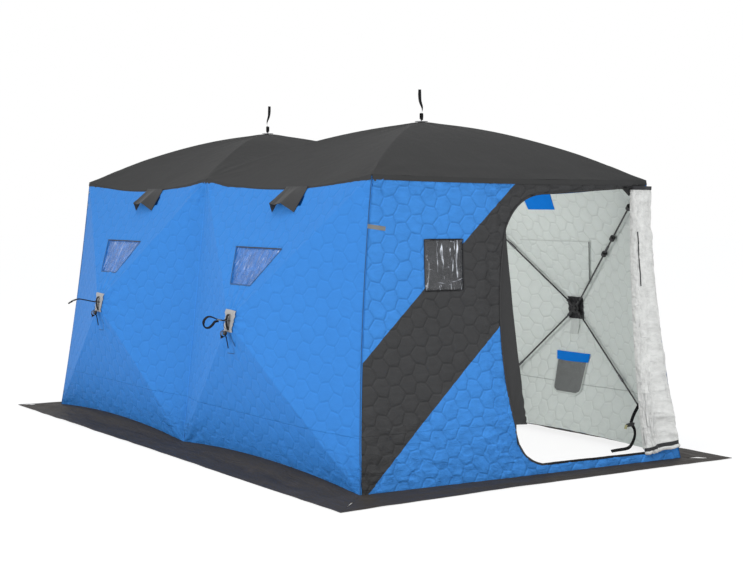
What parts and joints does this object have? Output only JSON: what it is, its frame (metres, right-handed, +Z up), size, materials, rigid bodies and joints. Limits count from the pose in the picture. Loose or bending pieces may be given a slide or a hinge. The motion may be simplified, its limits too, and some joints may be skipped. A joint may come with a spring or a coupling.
{
  "type": "two-bay pop-up ice fishing shelter",
  "caption": "Pop-up ice fishing shelter: two joined square tents with hub frames, leaning quilted walls, domed roofs, windows, a tied back door and a ground skirt.",
  "frame": {"origin": "centre of the footprint on the ground", "axes": "+X towards the end with the open door, along the length; -Y towards the front long wall; +Z up"},
  "size_m": [4.91, 3.306, 2.3094],
  "materials": {
    "wall_blue": "quilted polyester, semi-matt",
    "wall_black": "quilted polyester, semi-matt",
    "roof_black": "single polyester, matt",
    "liner_grey": "quilted liner, matt",
    "skirt_grey": "coated polyester, matt",
    "window_film": "clear vinyl film",
    "pole_black": "fibreglass rod",
    "hub_black": "moulded nylon",
    "ferrule_steel": "dark plated",
    "webbing_black": "woven webbing",
    "patch_grey": "coated polyester, matt",
    "mesh_grey": "mesh",
    "flap_blue": "single polyester",
    "grommet_brass": "plated"
  },
  "bodies": {
    "root": {"back_left_poles": "pole_black", "back_left_wall": "wall_blue", "back_left_window": "window_film", "back_right_poles": "pole_black", "back_right_wall": "wall_blue", "back_right_window": "window_film", "back_skirt": "skirt_grey", "doorway_bindings": "webbing_black", "end_window_covers": "liner_grey", "front_left_poles": "pole_black", "front_left_wall": "wall_blue", "front_left_window": "window_film", "front_right_poles": "pole_black", "front_right_wall": "wall_blue", "front_right_window": "window_film", "front_skirt": "skirt_grey", "hub_backings": "webbing_black", "hub_knuckles": "hub_black", "hub_patches": "patch_grey", "hub_pins": "ferrule_steel", "left_door": "wall_blue", "left_door_header": "wall_black", "left_door_post": "wall_blue", "left_door_sill": "wall_blue", "left_door_window": "window_film", "left_end_wall": "wall_blue", "left_roof": "roof_black", "left_roof_poles": "pole_black", "left_skirt": "skirt_grey", "left_window": "window_film", "mesh_pockets": "mesh_grey", "pole_clips": "hub_black", "pole_cups": "hub_black", "pole_ferrules": "ferrule_steel", "right_door": "liner_grey", "right_door_header": "wall_black", "right_door_post": "wall_blue", "right_door_sill": "wall_blue", "right_end_wall": "wall_blue", "right_roof": "roof_black", "right_roof_poles": "pole_black", "right_skirt": "skirt_grey", "right_window": "window_film", "roof_caps": "patch_grey", "roof_hubs": "hub_black", "roof_pull_straps": "webbing_black", "skirt_eyelets": "grommet_brass", "storm_flaps": "wall_black", "strap_rings": "ferrule_steel", "vent_flaps": "flap_blue", "vent_hoods": "roof_black", "wall_hubs": "hub_black", "wall_pull_straps": "webbing_black", "window_covers": "liner_grey"}
  },
  "joints": []
}
